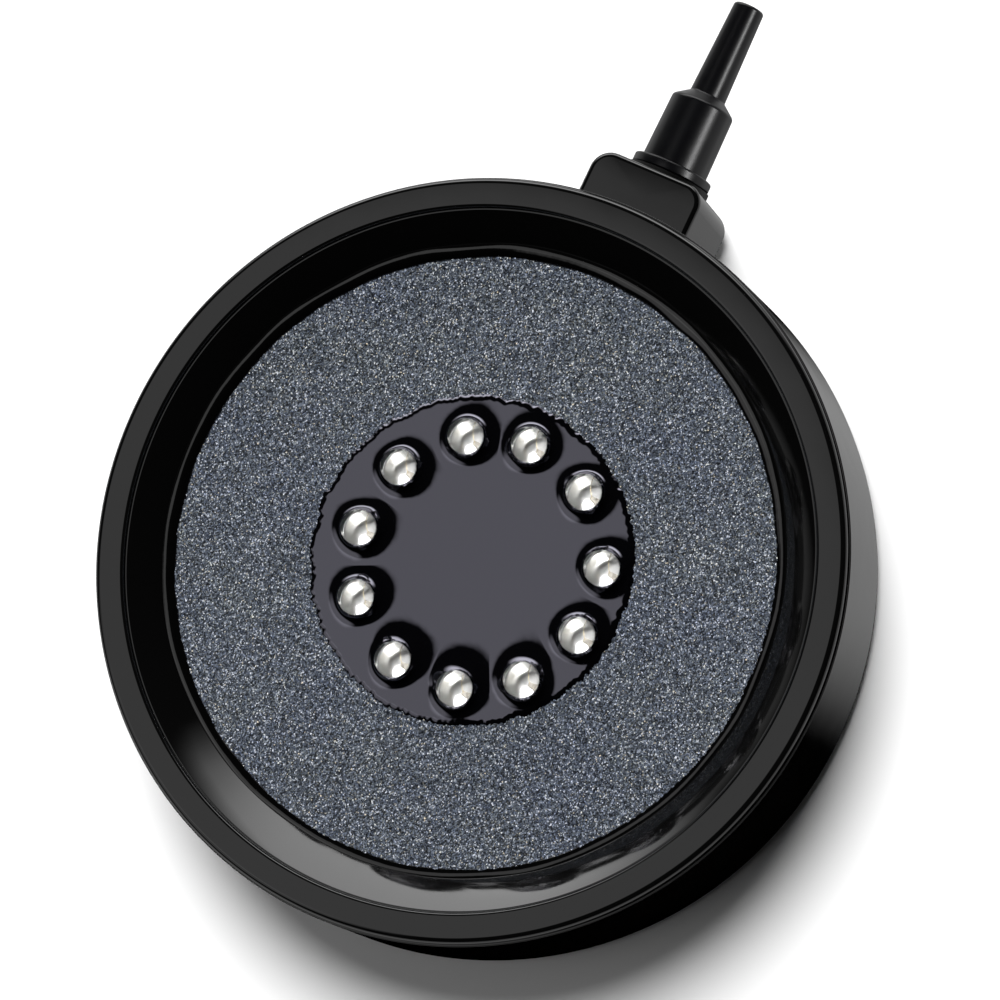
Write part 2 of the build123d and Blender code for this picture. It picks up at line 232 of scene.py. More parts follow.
@dataclass(frozen=True)
class MouldedAbs(Finish):
    """Black ABS from a polished injection mould: deep gloss with a faint long swell from cooling."""

    swell_mm: float = 9.0
    swell_depth_mm: float = 0.04

    def dress(self, tree: Tree, shader: Node, place: Socket) -> None:
        """Adds the swell that the plastic's shrinking leaves."""
        self.relief(tree, shader, noise(tree, place, self.swell_mm, 1.0), self.swell_depth_mm)


@dataclass(frozen=True)
class SparkedPlastic(Finish):
    """Plastic from a spark-eroded mould: a satin skin with a fine even grain."""

    grain_mm: float = 0.15
    grain_depth_mm: float = 0.01

    def dress(self, tree: Tree, shader: Node, place: Socket) -> None:
        """Adds the mould's grain."""
        self.relief(tree, shader, noise(tree, place, self.grain_mm, 2.0), self.grain_depth_mm, 0.5)


@dataclass(frozen=True)
class BondedGrit(Finish):
    """Sand grains bonded with dark resin: blue-grey grains, some greenish, some pale and glinting."""

    grain_mm: float = 0.17
    grain_depth_mm: float = 0.12
    patch_mm: float = 14.0

    def dress(self, tree: Tree, shader: Node, place: Socket) -> None:
        """Gives each grain its own grey, its own gloss, and a hue and rounded height from a third value."""
        cells = add_node(tree, "ShaderNodeTexVoronoi", {"Vector": place, "Scale": 1 / (self.grain_mm * MM)})
        grey, gloss, third = add_node(tree, "ShaderNodeSeparateColor", {0: cells.outputs["Color"]}).outputs
        tone = ramp(tree, grey, [
            (0.0, "#07080b"),
            (0.25, "#272a2f"),
            (0.6, "#4e525a"),
            (0.85, "#6d7279"),
            (0.95, "#a2a3a7"),
            (1.0, "#dcdadb"),
        ])
        drift = ramp(tree, noise(tree, place, self.patch_mm, 4.0), [(0.35, "#f6f7f4"), (0.65, "#eceff6")])
        hue = ramp(tree, third, [
            (0.0, "#ffeccb"),
            (0.14, "#f3f8f0"),
            (0.3, "#fafcff"),
            (0.8, "#eff5ff"),
            (1.0, "#dbe6ff"),
        ])
        colour = colour_product(tree, colour_product(tree, tone, drift), hue)
        tree.links.new(colour, shader.inputs["Base Color"])
        skin = add_node(tree, "ShaderNodeMapRange", {"Value": gloss, "To Min": 0.3, "To Max": 0.9})
        tree.links.new(skin.outputs[0], shader.inputs["Roughness"])
        crown = add_node(tree, "ShaderNodeMath", {0: 1.0, 1: cells.outputs["Distance"]}, operation="SUBTRACT")
        self.relief(tree, shader, product(tree, crown.outputs[0], third), self.grain_depth_mm)


@dataclass(frozen=True)
class CastEpoxy(Finish):
    """Black epoxy poured and left to level: a glassy skin with a tinted sheen and a slow ripple."""

    ripple_mm: float = 3.5
    ripple_depth_mm: float = 0.03
    tint: str = "#ffffff"

    def dress(self, tree: Tree, shader: Node, place: Socket) -> None:
        """Tints the sheen and adds the ripple of the skin."""
        shader.inputs["Specular Tint"].default_value = linear(self.tint)
        self.relief(tree, shader, noise(tree, place, self.ripple_mm, 2.0), self.ripple_depth_mm)


@dataclass(frozen=True)
class ClearEpoxy(Finish):
    """Water-clear epoxy cast in a polished cup: sharp highlights, and the cup and leads show through it."""

    flow_mm: float = 1.2
    flow_depth_mm: float = 0.004

    def dress(self, tree: Tree, shader: Node, place: Socket) -> None:
        """Lets light through, with a very faint flow line."""
        shader.inputs["Transmission Weight"].default_value = 1.0
        self.relief(tree, shader, noise(tree, place, self.flow_mm, 1.0), self.flow_depth_mm)


@dataclass(frozen=True)
class PlatedMetal(Finish):
    """Stamped and plated metal: bright, with fine rolling lines."""

    line_mm: float = 0.12
    line_depth_mm: float = 0.01

    def dress(self, tree: Tree, shader: Node, place: Socket) -> None:
        """Adds the rolling lines, drawn out ten times along the leads."""
        drawn = add_node(tree, "ShaderNodeMapping", {"Vector": place, "Scale": (1.0, 1.0, 0.1)}).outputs[0]
        self.relief(tree, shader, noise(tree, drawn, self.line_mm, 2.0), self.line_depth_mm, 0.6)


@dataclass(frozen=True)
class WovenLaminate(Finish):
    """Glass-fibre circuit board under solder mask: the weave just shows through the lacquer."""

    thread_mm: float = 0.5
    thread_depth_mm: float = 0.02

    def dress(self, tree: Tree, shader: Node, place: Socket) -> None:
        """Adds the two directions of threads."""
        wave = {"Vector": place, "Scale": 0.5 / (self.thread_mm * MM)}
        warp = add_node(tree, "ShaderNodeTexWave", wave, bands_direction="X").outputs["Fac"]
        weft = add_node(tree, "ShaderNodeTexWave", wave, bands_direction="Y").outputs["Fac"]
        self.relief(tree, shader, product(tree, warp, weft), self.thread_depth_mm)


class Finishes(Enum):
    """Every finish on the object, named for its material and how it was made."""

    HOUSING = MouldedAbs("abs_polished_mould", "#050505", 0.06, variation=0.015)
    NOZZLE = SparkedPlastic("polypropylene_sparked_mould", "#030304", 0.3, specular=0.3)
    STONE = BondedGrit("silica_grit_resin_bonded", "#6c727d", 0.6)
    SEALANT = CastEpoxy("sealant_tooled_bead", "#030303", 0.08, ripple_mm=2.2)
    POTTING = CastEpoxy("epoxy_poured_black", "#030304", 0.04, ior=1.6, specular=1.0, tint="#edebff")
    LENS = ClearEpoxy("epoxy_clear_cast", "#ffffff", 0.01, ior=1.54, variation=0.005)
    PLATED = PlatedMetal("steel_silver_plated", "#fafaf8", 0.36, metallic=1.0)
    CHIP = PlatedMetal("led_chip_sawn", "#d3cdc2", 0.4)
    GOLD_WIRE = PlatedMetal("gold_bond_wire", "#ecd9ae", 0.2, metallic=1.0)
    BOARD = WovenLaminate("glass_epoxy_board", "#173a24", 0.35)
    CERAMIC = SparkedPlastic("alumina_chip_resistor", "#1a1a1c", 0.4, grain_mm=0.1)
    LEAD_RED = SparkedPlastic("pvc_red_extruded", "#9c1512", 0.35, grain_mm=0.2)
    LEAD_BLACK = SparkedPlastic("pvc_black_extruded", "#0a0a0a", 0.35, grain_mm=0.2)
    RUBBER = SparkedPlastic("nitrile_rubber_moulded", "#070707", 0.5, grain_mm=0.12, specular=0.3)
    FLOOR = SparkedPlastic("studio_floor_painted", "#ececec", 0.9, grain_mm=1.0, specular=0.0)


MATERIALS: dict[Finishes, bpy.types.Material] = {}


def material_for(finish: Finishes) -> bpy.types.Material:
    """Gives a finish's material, made once.

    Args:
        finish: The finish.

    Returns:
        Its material.
    """
    if finish not in MATERIALS:
        MATERIALS[finish] = finish.value.build()
    return MATERIALS[finish]


# ---------------------------------------------------------------- surfaces
def sheet_faces(rows: int, columns: int, closed: bool) -> Array:
    """Gives the quads of a grid of points whose last column joins the first.

    Args:
        rows: Number of rows.
        columns: Number of columns.
        closed: The last row joins the first too.

    Returns:
        One row of four point numbers for each quad.
    """
    i = np.arange(rows if closed else rows - 1)[:, None]
    j = np.arange(columns)[None, :]
    i_next = (i + 1) % rows
    j_next = (j + 1) % columns
    corners = (i * columns + j, i * columns + j_next, i_next * columns + j_next, i_next * columns + j)
    return np.stack([np.broadcast_to(c, (i.size, j.size)).ravel() for c in corners], axis=1)


def welded(points: Array, faces: Array, tolerance_mm: float = 1e-4) -> Shell:
    """Merges points that fall together, so that seams and poles are closed.

    Args:
        points: Points in mm, one row each.
        faces: Quads.
        tolerance_mm: Points this near are one.

    Returns:
        The points that are left, and the faces with their new numbers.
    """
    keys = np.round(points / tolerance_mm).astype(np.int64)
    _, first, number = np.unique(keys, axis=0, return_index=True, return_inverse=True)
    return points[first], number.reshape(-1)[faces]


def pieces_of(body: str) -> bpy.types.Collection:
    """Gives the collection that holds one body's pieces, for the lights to tell them apart.

    Args:
        body: The body's name.

    Returns:
        Its collection, made at the first call.
    """
    name = f"{body}_pieces"
    return bpy.data.collections.get(name) or bpy.data.collections.new(name)


def make_piece(
    name: str, shell: Shell, finish: Finishes, body: str, inside_out: bool = False
) -> bpy.types.Object:
    """Turns points and faces into a piece of the object.

    Args:
        name: The piece's name.
        shell: Its points in mm, one row each, and its quads. A quad with a point twice becomes a triangle.
        finish: Its finish.
        body: The body that it rides on.
        inside_out: Turn every face round.

    Returns:
        The new object.
    """
    points, faces = welded(*shell)
    if inside_out:
        faces = faces[:, ::-1]
    follows = faces != np.roll(faces, 1, axis=1)
    count = follows.sum(axis=1)
    quads = faces[count == 4]
    short = count == 3
    triangles = faces[short][follows[short]].reshape(-1, 3)
    mesh = bpy.data.meshes.new(name)
    mesh.from_pydata((points * MM).tolist(), [], quads.tolist() + triangles.tolist())
    mesh.validate()
    mesh.polygons.foreach_set("use_smooth", np.ones(len(mesh.polygons), dtype=bool))
    made = bpy.data.objects.new(name, mesh)
    bpy.context.scene.collection.objects.link(made)
    mesh.materials.append(material_for(finish))
    weights = made.modifiers.new("even_shading", "WEIGHTED_NORMAL")
    weights.mode = "FACE_AREA"
    weights.weight = 80
    pieces_of(body).objects.link(made)
    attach(made, body)
    return made


def rounded(corners: list[tuple[float, float, float]], closed: bool = True, steps: int = 6) -> Array:
    """Rounds the corners of a profile.

    At each corner the arc starts a tangent length back, r·tan(half the turn), and at part t of the turn
    it stands at start + r·(sin t · direction in + (1 − cos t) · inward normal).

    Args:
        corners: Radius or x, height, and corner radius for each corner, in mm.
        closed: The last corner joins the first. An open profile keeps its two ends sharp.
        steps: Pieces in each arc.

    Returns:
        The profile's points, two numbers each.
    """
    data = np.array(corners, dtype=float)
    at, radius = data[:, :2], data[:, 2].copy()
    if not closed:
        radius[[0, -1]] = 0
    before = at - np.roll(at, 1, axis=0)
    after = np.roll(at, -1, axis=0) - at
    before /= np.linalg.norm(before, axis=1, keepdims=True)
    after /= np.linalg.norm(after, axis=1, keepdims=True)
    turn = np.arccos(np.clip((before * after).sum(axis=1), -1, 1))
    inward = after - (before * after).sum(axis=1, keepdims=True) * before
    inward /= np.maximum(np.linalg.norm(inward, axis=1, keepdims=True), 1e-12)
    start = at - before * (radius * np.tan(turn / 2))[:, None]
    t = np.linspace(0, 1, steps + 1)[None, :, None] * turn[:, None, None]
    r = radius[:, None, None]
    arc = start[:, None] + r * (np.sin(t) * before[:, None] + (1 - np.cos(t)) * inward[:, None])
    arc = np.where(r > 0, arc, at[:, None])
    flat = arc.reshape(-1, 2)
    keep = np.linalg.norm(flat - np.roll(flat, 1, axis=0), axis=1) > 1e-6
    keep[0] = True
    return flat[keep]


def round_shell(r: Array, z: Array, centre: tuple[float, float] = (0.0, 0.0), closed: bool = True) -> Shell:
    """Places rows of radii and heights round an upright axis: (r cos a, r sin a, z).

    Args:
        r: Radii, a row for each ring and a column for each angle.
        z: Heights, in the same layout.
        centre: The axis's x and y.
        closed: The last row joins the first.

    Returns:
        Points and quads.
    """
    a = np.linspace(0, 2 * np.pi, r.shape[1], endpoint=False)
    points = np.stack([centre[0] + r * np.cos(a), centre[1] + r * np.sin(a), z], axis=-1)
    return points.reshape(-1, 3), sheet_faces(*r.shape, closed)


def turned_z(
    profile: Array, segments: int, centre: tuple[float, float] = (0.0, 0.0), closed: bool = True
) -> Shell:
    """Turns a profile of radius and height about an upright axis.

    Args:
        profile: Points of radius and height.
        segments: Steps round the axis.
        centre: The axis's x and y.
        closed: The profile's last point joins its first.

    Returns:
        Points and quads.
    """
    r, z = profile.T[:, :, None] * np.ones(segments)
    return round_shell(r, z, centre, closed)


def turned_x(profile: Array, segments: int, height: float) -> Shell:
    """Turns a closed profile of x and radius about a level axis along X: (x, −r sin a, height + r cos a).

    Args:
        profile: Points of x and radius.
        segments: Steps round the axis.
        height: The axis's height.

    Returns:
        Points and quads.
    """
    a = np.linspace(0, 2 * np.pi, segments, endpoint=False)
    x, r = profile.T[:, :, None] * np.ones(segments)
    points = np.stack([x, -r * np.sin(a), height + r * np.cos(a)], axis=-1)
    return points.reshape(-1, 3), sheet_faces(len(profile), segments, closed=True)


def with_rows(r: Array, z: Array, corners: list[tuple[float, float]]) -> tuple[Array, Array]:
    """Adds plain rings after the last row of an uneven skin.

    Args:
        r: The skin's radii, a row for each ring.
        z: Its heights, in the same layout.
        corners: Radius and height of each plain ring.

    Returns:
        All the radii and all the heights.
    """
    plain_r, plain_z = np.array(corners).T[:, :, None] * np.ones(r.shape[1])
    return np.concatenate([r, plain_r]), np.concatenate([z, plain_z])


def ripple(points: Array, wave_mm: float, seed: int, waves: int = 14) -> Array:
    """A smooth random height: the sum of sine waves in random directions, each near one wavelength.

    Args:
        points: Places in mm, two or three numbers each.
        wave_mm: Typical wavelength.
        seed: Seed of the random directions and phases.
        waves: Number of sine waves.

    Returns:
        Heights, mostly within −1 to 1.
    """
    rng = np.random.default_rng(seed)
    direction = rng.normal(size=(points.shape[-1], waves))
    direction /= np.linalg.norm(direction, axis=0)
    pace = 2 * np.pi / (wave_mm * rng.uniform(0.7, 1.5, waves))
    phase = rng.uniform(0, 2 * np.pi, waves)
    return np.sin(points @ (direction * pace) + phase).sum(axis=-1) / np.sqrt(waves)


# ---------------------------------------------------------------- helpers for pieces
def rounded_block(
    low: tuple[float, float, float],
    high: tuple[float, float, float],
    corner_r: float,
    edge_r: float,
    square_back: bool = False,
    steps: int = 5,
) -> Shell:
    """A block with rounded upright corners and rounded top and bottom edges.

    Each level of the edge profile stands in from the outline by edge_r·(1 − sin t) and at a height of
    edge_r·(1 − cos t) from the end face. Its outline is the same rounded rectangle, drawn smaller.

    Args:
        low: Lowest x, y and z, in mm.
        high: Highest x, y and z, in mm.
        corner_r: Radius of the upright corners.
        edge_r: Radius of the top and bottom edges.
        square_back: The side at the lowest x stays flat, without a radius.
        steps: Pieces in each arc.

    Returns:
        Points and quads.
    """
    t = np.linspace(0, np.pi / 2, steps + 1)
    inset = edge_r * (1 - np.sin(t))
    rise = edge_r * (1 - np.cos(t))
    inset = np.concatenate([inset, inset[::-1]])
    height = np.concatenate([low[2] + rise, high[2] - rise[::-1]])
    rings = []
    for d, z in zip(inset, height):
        back = low[0] if square_back else low[0] + d
        back_r = 0.0 if square_back else corner_r - d
        outline = rounded([
            (back, low[1] + d, back_r),
            (high[0] - d, low[1] + d, corner_r - d),
            (high[0] - d, high[1] - d, corner_r - d),
            (back, high[1] - d, back_r),
        ], steps=2 * steps)
        rings.append(np.column_stack([outline, np.full(len(outline), z)]))
    middle = [(low[0] + high[0]) / 2, (low[1] + high[1]) / 2]
    bottom = np.tile([*middle, low[2]], (len(rings[0]), 1))
    top = np.tile([*middle, high[2]], (len(rings[0]), 1))
    points = np.concatenate([bottom, *rings, top])
    return points, sheet_faces(len(rings) + 2, len(rings[0]), closed=False)


def joined(shells: list[Shell]) -> Shell:
    """Puts several shells into one list of points and one of quads.

    Args:
        shells: Points and quads of each shell.

    Returns:
        All points and all quads.
    """
    offsets = np.cumsum([0] + [len(points) for points, _ in shells[:-1]])
    points = np.concatenate([points for points, _ in shells])
    faces = np.concatenate([faces + offset for (_, faces), offset in zip(shells, offsets)])
    return points, faces


def bored(piece: bpy.types.Object, shell: Shell) -> None:
    """Cuts a closed shape out of a piece and keeps the new edges sharp.

    Args:
        piece: The piece.
        shell: The cutter's points in mm and its quads.
    """
    points, faces = welded(*shell)
    mesh = bpy.data.meshes.new("cutter")
    mesh.from_pydata((points * MM).tolist(), [], faces.tolist())
    cutter = bpy.data.objects.new("cutter", mesh)
    bpy.context.scene.collection.objects.link(cutter)
    cut = piece.modifiers.new("bore", "BOOLEAN")
    cut.operation = "DIFFERENCE"
    cut.object = cutter
    cut.solver = "EXACT"
    order = [m.name for m in piece.modifiers]
    piece.modifiers.move(order.index("bore"), 0)
    shading = piece.modifiers["even_shading"]
    shading.show_viewport = False
    view = bpy.context.evaluated_depsgraph_get()
    view.update()
    result = bpy.data.meshes.new_from_object(piece.evaluated_get(view))
    piece.modifiers.remove(cut)
    old = piece.data
    piece.data = result
    result.name = piece.name
    bpy.data.meshes.remove(old)
    bpy.data.objects.remove(cutter)
    bpy.data.meshes.remove(mesh)
    result.set_sharp_from_angle(angle=float(np.radians(SHARP_DEG)))
    shading.show_viewport = True
    shading.keep_sharp = True


def absorbed(piece: bpy.types.Object, other: bpy.types.Object) -> None:
    """Adds another object's mesh to a piece and removes the other object.

    Args:
        piece: The piece that stays.
        other: The object that goes into it.
    """
    both = bmesh.new()
    both.from_mesh(piece.data)
    both.from_mesh(other.data)
    both.to_mesh(piece.data)
    both.free()
    spare = other.data
    bpy.data.objects.remove(other)
    bpy.data.meshes.remove(spare)


def report(piece: bpy.types.Object, slot: str, *nodes: str) -> None:
    """Hides the CAD nodes that a finished piece replaces, and logs its name and face count.

    Args:
        piece: The piece.
        slot: The slot of its material. Not used.
        *nodes: The CAD nodes that it replaces.
    """
    if nodes:
        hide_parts(*nodes)
    LOG.info("%s: %d faces", piece.name, len(piece.data.polygons))


# ---------------------------------------------------------------- housing
@dataclass
class Housing:
    """The moulded dish, its nozzle box and the rim ring pressed into it. Sizes in mm."""

    disc_r: float = 53.9
    wall_top_r: float = 53.3
    wall_in_r: float = 50.9
    parting_z: float = 22.4
    floor_t: float = 2.0
    base_edge_r: float = 3.0
    floor_fillet_r: float = 0.4
    seat_edge_r: float = 0.2
    stone_under_z: float = 13.5
    seat_in_r: float = 41.2
    seat_lip_r: float = 43.7
    seat_out_r: float = 45.6
    well_r: float = 21.0
    well_out_r: float = 25.0
    rim_r: float = 53.0
    rim_z: float = 24.0
    rim_edge_r: float = 0.9
    face_in_r: float = 49.3
    lip_r: float = 0.5
    step_h: float = 0.85
    ledge_w: float = 0.25
    foot_r: float = 43.4
    foot_z: float = 19.3
    foot_w: float = 1.0
    under_z: float = 18.02
    skirt_r: float = 50.8
    skirt_in_r: float = 49.4
    skirt_h: float = 3.8
    segments: int = 384
    end_x: float = 59.65
    box_back_x: float = 51.2
    box_half_w: float = 8.45
    box_foot_z: float = 2.0
    box_top_z: float = 21.0
    box_corner_r: float = 3.0
    box_edge_r: float = 0.8
    nozzle_z: float = 11.5
    bore_r: float = 4.0
    bore_depth: float = 7.0
    port_deg: float = 22.0
    port_z: float = 8.0
    port_r: float = 4.0
    port_depth: float = 7.0
    conduit_r: float = 2.4
    conduit_len: float = 6.0
    bore_segments: int = 96
    cutter_over: float = 1.0

    @property
    def ledge_in_r(self) -> float:
        """Radius of the ledge's inner edge, where the sloping wall starts."""
        return self.face_in_r - self.lip_r - self.ledge_w

    @property
    def ledge_z(self) -> float:
        """Height of the ledge inside the rim's face."""
        return self.rim_z - self.step_h

    @property
    def wall_slope(self) -> float:
        """Rise of the sloping wall for each mm outward."""
        return (self.ledge_z - self.foot_z) / (self.ledge_in_r - self.foot_r)

    def build(self) -> None:
        """Builds the dish with its box, and the rim ring."""
        self.dish()
        self.rim_ring()

    def dish(self) -> bpy.types.Object:
        """Turns the dish's section about its axis, adds the box and bores both.

        Returns:
            The moulding.
        """
        fillet, edge = self.floor_fillet_r, self.seat_edge_r
        profile = rounded([
            (0.0, 0.0, 0.0),
            (self.disc_r, 0.0, self.base_edge_r),
            (self.wall_top_r, self.parting_z, 0.12),
            (self.wall_in_r, self.parting_z, 0.1),
            (self.wall_in_r, self.floor_t, 0.6),
            (self.seat_out_r, self.floor_t, fillet),
            (self.seat_out_r, self.under_z, edge),
            (self.seat_lip_r, self.under_z, edge),
            (self.seat_lip_r, self.stone_under_z, edge),
            (self.seat_in_r, self.stone_under_z, edge),
            (self.seat_in_r, self.floor_t, fillet),
            (self.well_out_r, self.floor_t, fillet),
            (self.well_out_r, self.stone_under_z, edge),
            (self.well_r, self.stone_under_z, edge),
            (self.well_r, self.floor_t, fillet),
            (0.0, self.floor_t, 0.0),
        ], steps=8)
        moulding = make_piece("housing_moulding", turned_z(profile, self.segments), Finishes.HOUSING, DISC)
        bored(moulding, self.nozzle_bore())
        bored(moulding, self.port_bore())
        block = rounded_block(
            (self.box_back_x, -self.box_half_w, self.box_foot_z),
            (self.end_x, self.box_half_w, self.box_top_z),
            self.box_corner_r,
            self.box_edge_r,
            square_back=True,
        )
        box = make_piece("nozzle_box", block, Finishes.HOUSING, DISC)
        bored(box, self.nozzle_bore())
        absorbed(moulding, box)
        report(moulding, "moulded_abs", "housing")
        return moulding

    def nozzle_bore(self) -> Shell:
        """Gives the cylinder that the nozzle's stem turns in.

        Returns:
            The cutter's points and quads.
        """
        bottom = self.end_x - self.bore_depth
        outside = self.end_x + self.cutter_over
        profile = np.array([(bottom, 0.0), (bottom, self.bore_r), (outside, self.bore_r), (outside, 0.0)])
        return turned_x(profile, self.bore_segments, self.nozzle_z)

    def port_bore(self) -> Shell:
        """Gives the stepped cylinder of the cable port, turned to the port's angle.

        Returns:
            The cutter's points and quads.
        """
        step = self.disc_r - self.port_depth
        inner = step - self.conduit_len
        outer = self.disc_r + self.cutter_over
        profile = np.array([
            (inner, 0.0),
            (inner, self.conduit_r),
            (step, self.conduit_r),
            (step, self.port_r),
            (outer, self.port_r),
            (outer, 0.0),
        ])
        points, faces = turned_x(profile, self.bore_segments, self.port_z)
        a = np.radians(self.port_deg)
        turn = np.array([[np.cos(a), np.sin(a), 0], [-np.sin(a), np.cos(a), 0], [0, 0, 1]])
        return points @ turn, faces

    def rim_ring(self) -> bpy.types.Object:
        """Turns the rim ring's section about the disc's axis.

        Returns:
            The ring.
        """
        ledge_out_r = self.face_in_r - self.lip_r
        skirt_z = self.parting_z - self.skirt_h
        meet_z = self.under_z + (self.skirt_in_r - self.foot_r - self.foot_w) * self.wall_slope
        profile = rounded([
            (self.rim_r, self.parting_z, 0.08),
            (self.rim_r, self.rim_z, self.rim_edge_r),
            (ledge_out_r, self.rim_z, self.lip_r),
            (ledge_out_r, self.ledge_z, 0.1),
            (self.ledge_in_r, self.ledge_z, 0.12),
            (self.foot_r, self.foot_z, 0.0),
            (self.foot_r, self.under_z, 0.0),
            (self.foot_r + self.foot_w, self.under_z, 0.0),
            (self.skirt_in_r, meet_z, 0.0),
            (self.skirt_in_r, skirt_z, 0.1),
            (self.skirt_r, skirt_z, 0.1),
            (self.skirt_r, self.parting_z, 0.0),
        ])
        ring = make_piece("rim_ring_moulding", turned_z(profile, self.segments), Finishes.HOUSING, DISC)
        report(ring, "moulded_abs", "rim_ring")
        return ring


# ---------------------------------------------------------------- stone and its sealant
@dataclass
class Stone:
    """The porous stone ring and the bead of sealant round its edge. Sizes in mm."""

    dish: Housing
    stone_r: float = 43.2
    hole_r: float = 22.6
    top_z: float = 19.5
    edge_w: float = 0.25
    grit_mm: float = 0.06
    side_share: float = 0.5
    rows: int = 84
    side_rows: int = 5
    columns: int = 1040
    seed: int = 11
    bead_r: float = 43.0
    bead_in_r: float = 42.55
    bead_out_r: float = 44.6
    bead_thin_r: float = 43.85
    bead_full_deg: float = 50.0
    bead_crown: float = 0.4
    bead_thin_share: float = 0.35
    bead_root_z: float = 18.4
    bead_segments: int = 900
    sink: float = 0.05

    def build(self) -> None:
        """Builds the stone and the bead."""
        self.stone()
        self.bead()

    def stone(self) -> bpy.types.Object:
        """Turns a ring section and lifts each point of its skin by a random grain height.

        Returns:
            The stone.
        """
        across = np.linspace(self.hole_r + self.edge_w, self.stone_r - self.edge_w, self.rows)
        top = np.column_stack([across, np.full(self.rows, self.top_z)])
        side_z = np.linspace(self.top_z - self.edge_w, self.dish.stone_under_z, self.side_rows)
        outer = np.column_stack([np.full(self.side_rows, self.stone_r), side_z])
        inner = np.column_stack([np.full(self.side_rows, self.hole_r), side_z[::-1]])
        profile = np.concatenate([top, outer, inner])
        points, faces = turned_z(profile, self.columns)
        points = points.reshape(len(profile), self.columns, 3)
        rng = np.random.default_rng(self.seed)
        grain = rng.normal(size=(len(profile), self.columns))
        grain = (grain + np.roll(grain, 1, axis=1)) / np.sqrt(2)
        lift = self.grit_mm * np.clip(grain, -2.0, 1.6)
        points[: self.rows, :, 2] += lift[: self.rows]
        side = slice(self.rows, self.rows + self.side_rows - 1)
        outward = points[side, :, :2] / np.linalg.norm(points[side, :, :2], axis=-1, keepdims=True)
        points[side, :, :2] += outward * lift[side][..., None] * self.side_share
        shell = (points.reshape(-1, 3), faces)
        stone = make_piece("grit_stone", shell, Finishes.STONE, DISC, inside_out=True)
        report(stone, "bonded_grit", "porous_stone")
        return stone

    def bead(self) -> bpy.types.Object:
        """Carries the bead's section round the stone, with an uneven edge and crown.

        The section's top is a half wave, sin(pi·t), over the line from the stone to the sloping wall. Its
        inner edge, outer edge and crown each wander with a slow ripple along the way. The bead is widest
        on the side at bead_full_deg and thins out on the far side.

        Returns:
            The bead.
        """
        a = np.linspace(0, 2 * np.pi, self.bead_segments, endpoint=False)
        ring = self.bead_r * np.column_stack([np.cos(a), np.sin(a)])
        full = np.clip(0.5 + 0.8 * np.cos(a - np.radians(self.bead_full_deg)), 0.0, 1.0)
        inner = self.bead_in_r + 0.06 * ripple(ring, 9.0, 21)
        outer = self.bead_thin_r + (self.bead_out_r - self.bead_thin_r) * full + 0.06 * ripple(ring, 14.0, 23)
        share = self.bead_thin_share + (1 - self.bead_thin_share) * full
        crown = self.bead_crown * share * (1 + 0.12 * ripple(ring, 12.0, 24))
        inner_z = self.top_z - self.sink
        outer_z = self.dish.foot_z + (outer - self.dish.foot_r) * self.dish.wall_slope
        t = np.linspace(0, 1, 13)[:, None]
        r = inner + (outer - inner) * t
        z = inner_z + (outer_z - inner_z) * t + crown * np.sin(np.pi * t) ** 0.8
        r, z = with_rows(r, z, [
            (self.dish.foot_r, self.dish.foot_z - self.sink),
            (self.dish.foot_r, self.bead_root_z),
            (self.stone_r, self.bead_root_z),
            (self.stone_r, self.top_z - 2 * self.sink),
        ])
        bead = make_piece("sealant_bead", round_shell(r, z), Finishes.SEALANT, DISC, inside_out=True)
        report(bead, "sealant", "stone_seal_bead")
        return bead


